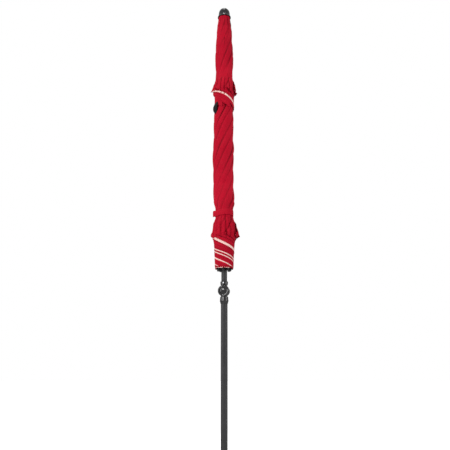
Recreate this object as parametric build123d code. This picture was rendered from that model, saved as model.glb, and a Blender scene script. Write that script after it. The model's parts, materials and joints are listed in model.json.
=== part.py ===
from build123d import *
import math
import os

os.makedirs("parts", exist_ok=True)

# A furled patio umbrella: a weighted base, a two-part pole with a tilt joint, eight ribs and
# struts on a runner, a two-tier canopy rolled round the closed ribs, and a domed finial.
# Millimetres, +Z up, origin on the ground under the middle of the base.

# ---- overall
RIB_COUNT = 8
RIB_STEP = 360.0 / RIB_COUNT
HINGE_Z = 1105.0  # tilt hinge above the ground
RIB_LENGTH = 1594.0  # rib pivot to rib tip
TIP_UP = 113.0  # furled rib tips above the tilt hinge
CROWN_Z = HINGE_Z + TIP_UP + RIB_LENGTH  # rib pivots above the ground
OPEN_ANGLE = 70.0  # swing of a rib from furled to open

# ---- fits
SLIDE_GAP = 0.3  # a sliding or turning plastic fit, each side
PIN_GAP = 0.4  # a loose rivet in an eye, each side
SLOT_GAP = 0.5  # a tang in its slot, each side

# ---- base
WEIGHT_RADIUS = 240.0
WEIGHT_HEIGHT = 60.0
WEIGHT_EDGE = 14.0
FOOT_HEIGHT = 8.0
FOOT_RADIUS = 22.0
FOOT_CIRCLE = 190.0
FOOT_COUNT = 4
FLANGE_RADIUS = 62.0
FLANGE_THICK = 6.0
SLEEVE_TOP = 240.0
SLEEVE_WALL = 2.5
BOLT_CIRCLE = 46.0
BOLT_RADIUS = 4.0
BOLT_DEPTH = 24.0
BOLT_HEAD_RADIUS = 7.0
BOLT_HEAD_HEIGHT = 5.0
LINER_WALL = 2.9
LINER_RIM = 4.0
CLAMP_BELOW_TOP = 35.0
CLAMP_THREAD_RADIUS = 5.0
CLAMP_BOSS_RADIUS = 9.0
CLAMP_BOSS_LENGTH = 12.0
KNOB_RADIUS = 22.0
KNOB_LENGTH = 18.0
KNOB_LOBES = 6

# ---- pole
LOWER_TUBE_RADIUS = 19.0
UPPER_TUBE_RADIUS = 16.5
TUBE_WALL = 1.5
PLUG_FLANGE = 6.0
PLUG_DEPTH = 22.0

# ---- tilt joint, heights from its hinge
CHEEK_RADIUS = 30.0
TONGUE_RADIUS = 24.0
TONGUE_HALF = 7.0
CHEEK_THICK = 7.6
HINGE_PIN_RADIUS = 5.0
LOWER_COLLAR_END = -72.0
LOWER_COLLAR_BELLY = -56.0
LOWER_COLLAR_BELLY_WALL = 5.8
LOWER_COLLAR_TOP_WALL = 3.7
COLLAR_LIP = 2.0
SEAT_WEB = 8.0
UPPER_COLLAR_TOP = 53.0
UPPER_COLLAR_RADIUS = UPPER_TUBE_RADIUS + 5.5
UPPER_SEAT_WEB = 3.5
NECK_HALF = 16.0
COVER_RADIUS = 32.5
COVER_THICK = 9.0
COVER_EDGE = 3.2
COVER_CLEAR = 1.0
BUTTON_RADIUS = 18.5
BUTTON_STANDOUT = 3.0
BUTTON_TRAVEL = 3.2
BUTTON_DOME = 3.0
BUTTON_POCKET = 7.0
BACK_CAP_RADIUS = 27.0
BACK_CAP_THICK = 5.0
SCREW_OFFSET = 15.0
SCREW_RADIUS = 2.0
SCREW_HEAD_RADIUS = 4.0
RIVET_RADIUS = 2.0
RIVET_HEAD = 3.6

# ---- crown, heights from the rib pivots
PIVOT_CIRCLE = UPPER_TUBE_RADIUS + 7.5
HUB_RADIUS = PIVOT_CIRCLE + 6.0
HUB_DOWN = 14.0
HUB_UP = 16.0
HUB_SPIGOT = 30.0
HUB_CORE_RADIUS = UPPER_TUBE_RADIUS + 2.0
PIVOT_PIN_RADIUS = 1.6
PIVOT_PIN_HALF = 6.0
STUD_RADIUS = 4.0
STUD_DEPTH = 20.0
BRIM_UP = 32.0
BRIM_OUTSIDE_RIB = 2.5
DOME_UP = 64.0
DOME_SHOULDER = 3.0
DOME_INSIDE_BRIM = 7.5
FINIAL_WALL = 3.0
FINIAL_BOSS_RADIUS = 8.0

# ---- ribs, distances along the rib from its pivot
RIB_START = 27.0
RIB_SETBACK = 4.0  # pivot circle to the rib's inner face
RIB_DEPTH = 11.0
RIB_WIDTH = 9.0
RIB_WALL = 0.8
RIB_EYE_RADIUS = 4.0
TANG_WIDTH = 5.0
TANG_INSERT = 13.0
TIP_WALL = 1.6
TIP_SOCKET = 34.0
TIP_NOSE = 9.0
STRUT_REACH = 590.0  # rib pivot to strut pivot, and strut pivot to runner pivot
EAR_GAP = 2.4
EAR_THICK = 2.0
EAR_HALF_HEIGHT = 5.5

# ---- struts and runner
STRUT_THICK = 6.0
STRUT_WIDTH = 8.0
STRUT_WALL = 0.8
STRUT_EYE_RADIUS = 3.4
STRUT_TANG = 4.0
STRUT_SHOULDER = 12.0
STRUT_PIN_RADIUS = 1.4
RUNNER_BORE_GAP = 0.7
RUNNER_UP = 8.0
RUNNER_DOWN = 62.0
RUNNER_SLOT_DOWN = 9.0
RUNNER_GRIP_GROOVE = 1.6
LATCH_RADIUS = 6.0
LATCH_DOWN = 36.0
LATCH_LENGTH = 4.2
LATCH_TRAVEL = 2.0

# ---- canopy
PANEL_OFF_RIB = 2.5  # canopy line outside the furled rib
PANEL_WIDTH = 20.0  # one gore folded beside its rib
PANEL_THICK = 1.0
PANEL_SEAM = 1.5  # panel edge to the seam over a rib
PANEL_TOP = 300.0
PANEL_BOTTOM = RIB_LENGTH - 124.0
VENT_STEP = 4.5  # vent tier outside the main tier
VENT_TOP = 210.0
VENT_BOTTOM = 540.0
ROLL_OFF_PANEL = 3.5  # roll's inner face outside the canopy line
VENT_ROLL_STEP = 3.3  # vent roll's inner face outside the main one's
STRAP_STEP = 5.6  # strap's inner face outside the main roll's
STRAP_HEIGHT = 36.0
STRAP_THICK = 1.6
ROLL_THICK = 2.5
HEM_UP = 25.0  # lowest cloth above the rib tips
SKIRT_ROOT_UP = 187.0
SKIRT_EDGE_UP = 205.0
SKIRT_TOP_UP = 302.0
STRAP_UP = 328.0
MAIN_TOP_DOWN = 579.0  # top of the main roll below the rib pivots
VENT_HEM_DOWN = 573.0
VENT_SKIRT_DOWN = 480.0
VENT_NECK_DOWN = 31.0
VENT_TOP_UP = 28.0

# ---- worked out from the sizes above
FLANGE_Z = FOOT_HEIGHT + WEIGHT_HEIGHT
LINER_BORE = LOWER_TUBE_RADIUS + SLIDE_GAP
LINER_OUTER = LINER_BORE + LINER_WALL
SLEEVE_BORE = LINER_OUTER + SLIDE_GAP
SLEEVE_OUTER = SLEEVE_BORE + SLEEVE_WALL
PLUG_Z = FLANGE_Z + FLANGE_THICK + SLIDE_GAP
LOWER_TUBE_FOOT = PLUG_Z + PLUG_FLANGE
LOWER_COLLAR_TOP = -COVER_RADIUS - COVER_CLEAR
LOWER_COLLAR_TOP_RADIUS = LOWER_TUBE_RADIUS + LOWER_COLLAR_TOP_WALL
LOWER_COLLAR_BELLY_RADIUS = LOWER_TUBE_RADIUS + LOWER_COLLAR_BELLY_WALL
LOWER_TUBE_TOP = HINGE_Z + LOWER_COLLAR_TOP - SEAT_WEB
CHEEK_INNER = TONGUE_HALF + PIN_GAP
CHEEK_OUTER = CHEEK_INNER + CHEEK_THICK
UPPER_COLLAR_FOOT = COVER_RADIUS + COVER_CLEAR
UPPER_TUBE_FOOT = HINGE_Z + UPPER_COLLAR_FOOT + UPPER_SEAT_WEB
HUB_FOOT = CROWN_Z - HUB_DOWN
RIB_INNER = PIVOT_CIRCLE + RIB_SETBACK
RIB_OUTER = RIB_INNER + RIB_DEPTH
BRIM_RADIUS = RIB_OUTER + BRIM_OUTSIDE_RIB
DOME_RADIUS = BRIM_RADIUS - DOME_INSIDE_BRIM
RIVET_Z = HINGE_Z + (UPPER_COLLAR_FOOT + UPPER_SEAT_WEB + UPPER_COLLAR_TOP) / 2
STRUT_PIVOT_Z = CROWN_Z - STRUT_REACH
RUNNER_Z = CROWN_Z - 2 * STRUT_REACH
RUNNER_BORE = UPPER_TUBE_RADIUS + RUNNER_BORE_GAP
RUNNER_RADIUS = RIB_INNER - 2 * SLIDE_GAP
PANEL_RADIUS = RIB_OUTER + PANEL_OFF_RIB
ROLL_INNER = PANEL_RADIUS + ROLL_OFF_PANEL
VENT_ROLL_INNER = ROLL_INNER + VENT_ROLL_STEP
STRAP_RADIUS = ROLL_INNER + STRAP_STEP
TIP_Z = CROWN_Z - RIB_LENGTH
STRAP_Z = TIP_Z + STRAP_UP
PANEL_TWIST = math.degrees(
    math.atan(math.cos(math.radians(OPEN_ANGLE)) * math.tan(math.radians(RIB_STEP / 2)))
)

FROM_BELOW = (Align.CENTER, Align.CENTER, Align.MIN)


def upright(radius, bottom, top, x=0.0, y=0.0):
    """A solid cylinder standing on Z."""
    return Pos(x, y, bottom) * Cylinder(radius, top - bottom, align=FROM_BELOW)


def pipe(outer, inner, bottom, top):
    """An upright tube round the Z axis."""
    return upright(outer, bottom, top) - upright(inner, bottom, top)


def block(x0, x1, y0, y1, z0, z1):
    """A box given by its six faces."""
    return Pos((x0 + x1) / 2, (y0 + y1) / 2, (z0 + z1) / 2) * Box(x1 - x0, y1 - y0, z1 - z0)


def bar_y(radius, y0, y1, x=0.0, z=0.0):
    """A round bar along Y."""
    return Pos(x, (y0 + y1) / 2, z) * Rot(90, 0, 0) * Cylinder(radius, y1 - y0)


def bar_x(radius, x0, x1, z=0.0):
    """A round bar along X."""
    return Pos((x0 + x1) / 2, 0, z) * Rot(0, 90, 0) * Cylinder(radius, x1 - x0)


def turned(*edges):
    """A solid of revolution round Z from the closed outline of its edges in radius and height."""
    return revolve(Plane.XZ * make_face(list(edges)), Axis.Z)


def turned_outline(points, base=0.0):
    """A solid of revolution from straight runs between (radius, height) points."""
    return turned(Polyline(*[(r, base + z) for r, z in points], close=True))


def round_crown(shape):
    """The same shape at each rib's azimuth."""
    return [Rot(0, 0, i * RIB_STEP) * shape for i in range(RIB_COUNT)]


def cut_all(shape, tools):
    """The shape with every tool cut from it."""
    for tool in tools:
        shape = shape - tool
    return shape


def save(name, *solids):
    """One sub-part's file, as a single solid or a group of separate ones."""
    shape = solids[0] if len(solids) == 1 else Compound(children=list(solids))
    export_step(shape, f"parts/{name}.step")


# ---- base


def bolt_places():
    """The four bolt positions on the sleeve's flange."""
    angles = [math.radians(45 + 90 * i) for i in range(4)]
    return [(BOLT_CIRCLE * math.cos(a), BOLT_CIRCLE * math.sin(a)) for a in angles]


def base_weight():
    """Cast disc with a rounded upper edge and four blind bolt holes."""
    disc = upright(WEIGHT_RADIUS, FOOT_HEIGHT, FLANGE_Z)
    disc = fillet(disc.edges().group_by(Axis.Z)[-1], WEIGHT_EDGE)
    holes = [upright(BOLT_RADIUS, FLANGE_Z - BOLT_DEPTH, FLANGE_Z, x, y) for x, y in bolt_places()]
    return cut_all(disc, holes)


def base_feet():
    """Rubber pads under the weight."""
    foot = upright(FOOT_RADIUS, 0, FOOT_HEIGHT, FOOT_CIRCLE)
    return [Rot(0, 0, i * 360 / FOOT_COUNT) * foot for i in range(FOOT_COUNT)]


def base_sleeve():
    """Flange, upright sleeve and the threaded boss for the clamp knob."""
    flange = upright(FLANGE_RADIUS, FLANGE_Z, FLANGE_Z + FLANGE_THICK)
    flange = cut_all(flange, [upright(BOLT_RADIUS, FLANGE_Z, PLUG_Z, x, y) for x, y in bolt_places()])
    tube = upright(SLEEVE_OUTER, FLANGE_Z + FLANGE_THICK, SLEEVE_TOP)
    boss_z = SLEEVE_TOP - CLAMP_BELOW_TOP
    boss = bar_x(CLAMP_BOSS_RADIUS, 0, SLEEVE_OUTER + CLAMP_BOSS_LENGTH, boss_z)
    body = flange + tube + boss
    body = body - upright(SLEEVE_BORE, FLANGE_Z + FLANGE_THICK, SLEEVE_TOP)
    return body - bar_x(CLAMP_THREAD_RADIUS, 0, SLEEVE_OUTER + CLAMP_BOSS_LENGTH, boss_z)


def base_bolts():
    """Four flange bolts, head and shank."""
    seat = FLANGE_Z + FLANGE_THICK
    return [
        upright(BOLT_RADIUS, FLANGE_Z - BOLT_DEPTH, seat, x, y)
        + upright(BOLT_HEAD_RADIUS, seat, seat + BOLT_HEAD_HEIGHT, x, y)
        for x, y in bolt_places()
    ]


def base_clamp_knob():
    """Lobed knob on a threaded shank that bears on the liner."""
    z = SLEEVE_TOP - CLAMP_BELOW_TOP
    seat = SLEEVE_OUTER + CLAMP_BOSS_LENGTH + SLIDE_GAP
    shank = bar_x(CLAMP_THREAD_RADIUS - SLIDE_GAP, SLEEVE_BORE + SLIDE_GAP, seat + KNOB_LENGTH / 2, z)
    head = bar_x(KNOB_RADIUS, seat, seat + KNOB_LENGTH, z)
    notch = Pos(0, KNOB_RADIUS * 1.15, z) * bar_x(KNOB_RADIUS * 0.3, seat, seat + KNOB_LENGTH)
    turns = [Pos(0, 0, z) * Rot(i * 360 / KNOB_LOBES, 0, 0) * Pos(0, 0, -z) for i in range(KNOB_LOBES)]
    head = cut_all(head, [turn * notch for turn in turns])
    return head + shank


def base_liner():
    """Turning plastic bush with a rim over the sleeve's mouth."""
    foot = FLANGE_Z + FLANGE_THICK + SLIDE_GAP
    rim = SLEEVE_TOP + SLIDE_GAP
    body = upright(LINER_OUTER, foot, rim) + upright(SLEEVE_OUTER, rim, rim + LINER_RIM)
    return body - upright(LINER_BORE, foot, rim + LINER_RIM)


# ---- pole


def lower_tube():
    return pipe(LOWER_TUBE_RADIUS, LOWER_TUBE_RADIUS - TUBE_WALL, LOWER_TUBE_FOOT, LOWER_TUBE_TOP)


def lower_tube_plug():
    """Plastic foot that closes the lower tube."""
    spigot = upright(LOWER_TUBE_RADIUS - TUBE_WALL, LOWER_TUBE_FOOT, LOWER_TUBE_FOOT + PLUG_DEPTH)
    return upright(LOWER_TUBE_RADIUS, PLUG_Z, LOWER_TUBE_FOOT) + spigot


def rivet_holes(radius):
    """Two bars across the upper collar, where its rivets go."""
    reach = UPPER_COLLAR_RADIUS
    inside = UPPER_TUBE_RADIUS - TUBE_WALL
    return [bar_y(radius, inside, reach, z=RIVET_Z), bar_y(radius, -reach, -inside, z=RIVET_Z)]


def upper_tube():
    tube = pipe(UPPER_TUBE_RADIUS, UPPER_TUBE_RADIUS - TUBE_WALL, UPPER_TUBE_FOOT, HUB_FOOT)
    return cut_all(tube, rivet_holes(RIVET_RADIUS))


# ---- tilt joint


def tilt_lower_knuckle():
    """Collar over the lower tube, with two round cheeks."""
    outline = [
        (0, LOWER_COLLAR_TOP),
        (LOWER_COLLAR_TOP_RADIUS, LOWER_COLLAR_TOP),
        (LOWER_COLLAR_BELLY_RADIUS, LOWER_COLLAR_BELLY),
        (LOWER_TUBE_RADIUS + COLLAR_LIP, LOWER_COLLAR_END),
        (LOWER_TUBE_RADIUS, LOWER_COLLAR_END),
        (LOWER_TUBE_RADIUS, LOWER_COLLAR_TOP - SEAT_WEB),
        (0, LOWER_COLLAR_TOP - SEAT_WEB),
    ]
    body = turned_outline(outline, HINGE_Z)
    for side in (-1, 1):
        near, far = sorted((side * CHEEK_INNER, side * CHEEK_OUTER))
        root = HINGE_Z + LOWER_COLLAR_TOP - SEAT_WEB
        body = body + bar_y(CHEEK_RADIUS, near, far, z=HINGE_Z)
        body = body + block(-NECK_HALF, NECK_HALF, near, far, root, HINGE_Z)
    body = body - bar_y(HINGE_PIN_RADIUS, -CHEEK_OUTER, CHEEK_OUTER, z=HINGE_Z)
    return cut_all(body, screw_shanks())


def screw_shanks():
    """The threaded lengths of the two back-cap screws."""
    return [
        bar_y(SCREW_RADIUS, CHEEK_INNER + SCREW_RADIUS, CHEEK_OUTER + BACK_CAP_THICK, x, HINGE_Z)
        for x in (-SCREW_OFFSET, SCREW_OFFSET)
    ]


def tilt_screws():
    seat = CHEEK_OUTER + BACK_CAP_THICK
    places = (-SCREW_OFFSET, SCREW_OFFSET)
    heads = [bar_y(SCREW_HEAD_RADIUS, seat, seat + SCREW_RADIUS, x, HINGE_Z) for x in places]
    return [shank + head for shank, head in zip(screw_shanks(), heads)]


def tilt_back_cap():
    cap = bar_y(BACK_CAP_RADIUS, CHEEK_OUTER, CHEEK_OUTER + BACK_CAP_THICK, z=HINGE_Z)
    cap = chamfer(cap.edges().group_by(Axis.Y)[-1], COVER_EDGE / 2)
    return cut_all(cap, screw_shanks())


def tilt_hinge_pin():
    return bar_y(HINGE_PIN_RADIUS, -CHEEK_OUTER, CHEEK_OUTER, z=HINGE_Z)


def tilt_cover_disc():
    """Round front cover with a stepped edge and the button's pocket."""
    front = -CHEEK_OUTER - COVER_THICK
    disc = bar_y(COVER_RADIUS, front, -CHEEK_OUTER, z=HINGE_Z)
    disc = chamfer(disc.edges().group_by(Axis.Y)[0], COVER_EDGE)
    return disc - bar_y(BUTTON_RADIUS + SLIDE_GAP, front, front + BUTTON_POCKET, z=HINGE_Z)


def tilt_button():
    """Domed push button in the cover."""
    front = -CHEEK_OUTER - COVER_THICK - BUTTON_STANDOUT
    back = -CHEEK_OUTER - COVER_THICK + BUTTON_POCKET - BUTTON_TRAVEL - SLIDE_GAP
    button = bar_y(BUTTON_RADIUS, front, back, z=HINGE_Z)
    return fillet(button.edges().group_by(Axis.Y)[0], BUTTON_DOME * 0.9)


def tilt_upper_knuckle():
    """Tongue between the cheeks, neck, and the collar round the upper tube."""
    tongue = bar_y(TONGUE_RADIUS, -TONGUE_HALF, TONGUE_HALF, z=HINGE_Z)
    seat = UPPER_COLLAR_FOOT + UPPER_SEAT_WEB
    neck = block(-NECK_HALF, NECK_HALF, -TONGUE_HALF, TONGUE_HALF, HINGE_Z, HINGE_Z + seat)
    outline = [
        (0, UPPER_COLLAR_FOOT),
        (UPPER_COLLAR_RADIUS - COLLAR_LIP / 2, UPPER_COLLAR_FOOT),
        (UPPER_COLLAR_RADIUS, UPPER_COLLAR_TOP - COLLAR_LIP),
        (UPPER_COLLAR_RADIUS - COLLAR_LIP / 2, UPPER_COLLAR_TOP),
        (UPPER_TUBE_RADIUS, UPPER_COLLAR_TOP),
        (UPPER_TUBE_RADIUS, seat),
        (0, seat),
    ]
    body = tongue + neck + turned_outline(outline, HINGE_Z)
    body = body - bar_y(HINGE_PIN_RADIUS + PIN_GAP / 2, -TONGUE_HALF, TONGUE_HALF, z=HINGE_Z)
    return cut_all(body, rivet_holes(RIVET_RADIUS))


def tilt_rivets():
    """Two rivets that hold the upper tube in its collar."""
    ends = (UPPER_COLLAR_RADIUS, UPPER_COLLAR_RADIUS + RIVET_RADIUS)
    heads = [bar_y(RIVET_HEAD, *ends, z=RIVET_Z), bar_y(RIVET_HEAD, -ends[1], -ends[0], z=RIVET_Z)]
    return [shank + head for shank, head in zip(rivet_holes(RIVET_RADIUS), heads)]


# ---- crown


def pivot_pin(radius, z):
    """One tangential pivot pin at the first rib's azimuth."""
    return bar_y(radius, -PIVOT_PIN_HALF, PIVOT_PIN_HALF, PIVOT_CIRCLE, z)


def crown_hub():
    """Slotted hub on a spigot in the upper tube."""
    body = upright(HUB_RADIUS, HUB_FOOT, CROWN_Z + HUB_UP)
    body = body + upright(UPPER_TUBE_RADIUS - TUBE_WALL, HUB_FOOT - HUB_SPIGOT, HUB_FOOT)
    half = TANG_WIDTH / 2 + SLOT_GAP
    slot = block(HUB_CORE_RADIUS, HUB_RADIUS + 1, -half, half, HUB_FOOT, CROWN_Z + HUB_UP)
    body = cut_all(body, round_crown(slot))
    body = cut_all(body, round_crown(pivot_pin(PIVOT_PIN_RADIUS, CROWN_Z)))
    return body - upright(STUD_RADIUS, CROWN_Z + HUB_UP - STUD_DEPTH, CROWN_Z + HUB_UP)


def crown_pins():
    return round_crown(pivot_pin(PIVOT_PIN_RADIUS, CROWN_Z))


def finial_stud():
    return upright(STUD_RADIUS, CROWN_Z + HUB_UP - STUD_DEPTH, CROWN_Z + DOME_UP)


def finial_cap():
    """Hollow dome over a flared brim, with a boss for the stud."""
    dome_z = CROWN_Z + DOME_UP
    brim_z = CROWN_Z + BRIM_UP
    inner = DOME_RADIUS - FINIAL_WALL
    skin = turned(
        CenterArc((0, dome_z), DOME_RADIUS, 0, 90),
        Polyline(
            (0, dome_z + DOME_RADIUS),
            (0, brim_z),
            (BRIM_RADIUS, brim_z),
            (BRIM_RADIUS, brim_z + FINIAL_WALL / 2),
            (DOME_RADIUS + FINIAL_WALL / 2, dome_z - DOME_SHOULDER - FINIAL_WALL),
            (DOME_RADIUS, dome_z - DOME_SHOULDER),
            (DOME_RADIUS, dome_z),
        ),
    )
    hollow = turned(
        CenterArc((0, dome_z), inner, 0, 90),
        Polyline(
            (0, dome_z + inner),
            (0, brim_z),
            (BRIM_RADIUS - FINIAL_WALL, brim_z),
            (inner, dome_z - DOME_SHOULDER),
            (inner, dome_z),
        ),
    )
    cavity = hollow - upright(FINIAL_BOSS_RADIUS, brim_z, dome_z + DOME_RADIUS)
    return skin - cavity - upright(STUD_RADIUS, brim_z, dome_z)


# ---- ribs and struts, drawn at the +X azimuth


def strut_pin():
    """The rivet between a rib's ears."""
    half = EAR_GAP + EAR_THICK
    return bar_y(STRUT_PIN_RADIUS, -half, half, PIVOT_CIRCLE, STRUT_PIVOT_Z)


def rib():
    """Rectangular tube with a tang and eye at the top and two ears for its strut."""
    half = RIB_WIDTH / 2
    top = CROWN_Z - RIB_START
    bottom = CROWN_Z - RIB_LENGTH + TIP_NOSE
    tube = block(RIB_INNER, RIB_OUTER, -half, half, bottom, top)
    inner, outer = RIB_INNER + RIB_WALL, RIB_OUTER - RIB_WALL
    bore = block(inner, outer, RIB_WALL - half, half - RIB_WALL, bottom, top)
    tang_face = Plane.XZ * make_face(
        Polyline(
            (PIVOT_CIRCLE - RIB_EYE_RADIUS, CROWN_Z),
            (PIVOT_CIRCLE + RIB_EYE_RADIUS, CROWN_Z),
            (RIB_OUTER, top),
            (RIB_OUTER, top - TANG_INSERT),
            (RIB_INNER, top - TANG_INSERT),
            close=True,
        )
    )
    tang = extrude(tang_face, TANG_WIDTH / 2, both=True)
    eye = bar_y(RIB_EYE_RADIUS, -TANG_WIDTH / 2, TANG_WIDTH / 2, PIVOT_CIRCLE, CROWN_Z)
    hole = bar_y(PIVOT_PIN_RADIUS + PIN_GAP, -TANG_WIDTH / 2, TANG_WIDTH / 2, PIVOT_CIRCLE, CROWN_Z)
    body = (tube - bore) + tang + eye - hole
    low, high = STRUT_PIVOT_Z - EAR_HALF_HEIGHT, STRUT_PIVOT_Z + EAR_HALF_HEIGHT
    ear_foot = PIVOT_CIRCLE - STRUT_EYE_RADIUS
    for y0 in (EAR_GAP, -EAR_GAP - EAR_THICK):
        body = body + block(ear_foot, RIB_INNER, y0, y0 + EAR_THICK, low, high)
    return body - strut_pin()


def rib_tip():
    """Moulded cap over the rib's lower end, with a rounded nose."""
    half = RIB_WIDTH / 2
    foot = CROWN_Z - RIB_LENGTH
    seat = foot + TIP_NOSE
    top = seat + TIP_SOCKET
    shell = block(
        RIB_INNER - TIP_WALL, RIB_OUTER + TIP_WALL, -half - TIP_WALL, half + TIP_WALL, foot, top
    )
    shell = fillet(shell.edges().group_by(Axis.Z)[0], TIP_WALL * 2)
    return shell - block(RIB_INNER, RIB_OUTER, -half, half, seat, top)


def strut():
    """Tube between the strut pivot and the runner pivot, with a tang and eye at each end."""
    half = STRUT_WIDTH / 2
    r0, r1 = PIVOT_CIRCLE - STRUT_THICK / 2, PIVOT_CIRCLE + STRUT_THICK / 2
    low, high = RUNNER_Z + STRUT_SHOULDER, STRUT_PIVOT_Z - STRUT_SHOULDER
    tube = block(r0, r1, -half, half, low, high)
    bore = block(r0 + STRUT_WALL, r1 - STRUT_WALL, STRUT_WALL - half, half - STRUT_WALL, low, high)
    body = tube - bore
    tang = STRUT_TANG / 2
    for eye_z, end_z in ((STRUT_PIVOT_Z, high - STRUT_SHOULDER), (RUNNER_Z, low + STRUT_SHOULDER)):
        body = body + block(r0, r1, -tang, tang, min(eye_z, end_z), max(eye_z, end_z))
        body = body + bar_y(STRUT_EYE_RADIUS, -tang, tang, PIVOT_CIRCLE, eye_z)
        body = body - bar_y(STRUT_PIN_RADIUS + PIN_GAP, -tang, tang, PIVOT_CIRCLE, eye_z)
    return body


# ---- runner


def latch_bore(radius, r0, r1):
    """A radial bar halfway between two ribs, in the runner's sleeve."""
    return Rot(0, 0, RIB_STEP / 2) * bar_x(radius, r0, r1, RUNNER_Z - LATCH_DOWN)


def runner_body():
    """Sliding sleeve with eight strut slots and a grooved grip."""
    top, foot = RUNNER_Z + RUNNER_UP, RUNNER_Z - RUNNER_DOWN
    body = pipe(RUNNER_RADIUS, RUNNER_BORE, foot, top)
    half = STRUT_TANG / 2 + SLOT_GAP
    slot = block(HUB_CORE_RADIUS, RUNNER_RADIUS + 1, -half, half, RUNNER_Z - RUNNER_SLOT_DOWN, top)
    body = cut_all(body, round_crown(slot))
    pins = round_crown(bar_y(STRUT_PIN_RADIUS, -PIVOT_PIN_HALF, PIVOT_PIN_HALF, PIVOT_CIRCLE, RUNNER_Z))
    body = cut_all(body, pins)
    groove_inner = RUNNER_RADIUS - RUNNER_GRIP_GROOVE
    for height in (foot + 3 * RUNNER_GRIP_GROOVE, foot + 7 * RUNNER_GRIP_GROOVE):
        body = body - pipe(RUNNER_RADIUS + 1, groove_inner, height, height + 2 * RUNNER_GRIP_GROOVE)
    depth = RUNNER_RADIUS - LATCH_LENGTH - LATCH_TRAVEL - SLIDE_GAP
    return body - latch_bore(LATCH_RADIUS + SLIDE_GAP, depth, RUNNER_RADIUS + 1)


def runner_pins():
    return round_crown(bar_y(STRUT_PIN_RADIUS, -PIVOT_PIN_HALF, PIVOT_PIN_HALF, PIVOT_CIRCLE, RUNNER_Z))


def runner_latch():
    """Spring button that locks the runner when the canopy is up."""
    return latch_bore(LATCH_RADIUS, RUNNER_RADIUS - LATCH_LENGTH, RUNNER_RADIUS)


# ---- canopy


def panel_strip(radius, near, far):
    """A gore folded flat beside its rib, in the plane that it opens in."""
    flat = block(
        -PANEL_THICK / 2,
        PANEL_THICK / 2,
        PANEL_SEAM,
        PANEL_WIDTH - PANEL_SEAM,
        CROWN_Z - far,
        CROWN_Z - near,
    )
    return Pos(radius, 0, 0) * Rot(0, 0, PANEL_TWIST) * flat


def canopy_panel():
    """The main gore and the vent gore above it."""
    return [
        panel_strip(PANEL_RADIUS, PANEL_TOP, PANEL_BOTTOM),
        panel_strip(PANEL_RADIUS + VENT_STEP, VENT_TOP, VENT_BOTTOM),
    ]


def canopy_furled():
    """The main tier rolled round the closed ribs, with the loose hem corners under the strap."""
    under_strap = STRAP_RADIUS - SLIDE_GAP
    outline = [
        (ROLL_INNER, TIP_Z + HEM_UP),
        (ROLL_INNER + ROLL_THICK, TIP_Z + HEM_UP),
        (ROLL_INNER + 7, TIP_Z + SKIRT_ROOT_UP - 50),
        (ROLL_INNER + 13, TIP_Z + SKIRT_ROOT_UP),
        (ROLL_INNER + 39, TIP_Z + SKIRT_EDGE_UP),
        (ROLL_INNER + 25, TIP_Z + SKIRT_EDGE_UP + 37),
        (ROLL_INNER + 13, TIP_Z + SKIRT_TOP_UP),
        (under_strap, STRAP_Z),
        (under_strap, STRAP_Z + STRAP_HEIGHT),
        (ROLL_INNER + 10, STRAP_Z + STRAP_HEIGHT + 63),
        (ROLL_INNER + 12, CROWN_Z - MAIN_TOP_DOWN - 268),
        (ROLL_INNER + 8, CROWN_Z - MAIN_TOP_DOWN - 58),
        (ROLL_INNER + 5, CROWN_Z - MAIN_TOP_DOWN),
        (ROLL_INNER, CROWN_Z - MAIN_TOP_DOWN),
    ]
    return turned_outline(outline)


def vent_furled():
    """The upper tier rolled over the top of the main one, from the finial to its flared hem."""
    outline = [
        (VENT_ROLL_INNER, CROWN_Z - VENT_HEM_DOWN),
        (VENT_ROLL_INNER + 3, CROWN_Z - VENT_HEM_DOWN),
        (VENT_ROLL_INNER + 9, CROWN_Z - VENT_SKIRT_DOWN - 47),
        (VENT_ROLL_INNER + 24, CROWN_Z - VENT_SKIRT_DOWN),
        (VENT_ROLL_INNER + 6, CROWN_Z - VENT_SKIRT_DOWN + 54),
        (VENT_ROLL_INNER + 4, CROWN_Z - VENT_SKIRT_DOWN + 197),
        (VENT_ROLL_INNER + 6, CROWN_Z - VENT_NECK_DOWN - 204),
        (VENT_ROLL_INNER + 3, CROWN_Z - VENT_NECK_DOWN - 162),
        (BRIM_RADIUS + 0.2, CROWN_Z - VENT_NECK_DOWN),
        (BRIM_RADIUS - 2.5, CROWN_Z + VENT_TOP_UP),
        (BRIM_RADIUS - 4, CROWN_Z + VENT_TOP_UP),
        (BRIM_RADIUS - 1.5, CROWN_Z - VENT_NECK_DOWN),
        (VENT_ROLL_INNER, CROWN_Z - VENT_NECK_DOWN - 166),
    ]
    return turned_outline(outline)


def tie_strap():
    return pipe(STRAP_RADIUS + STRAP_THICK, STRAP_RADIUS, STRAP_Z, STRAP_Z + STRAP_HEIGHT)


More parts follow.
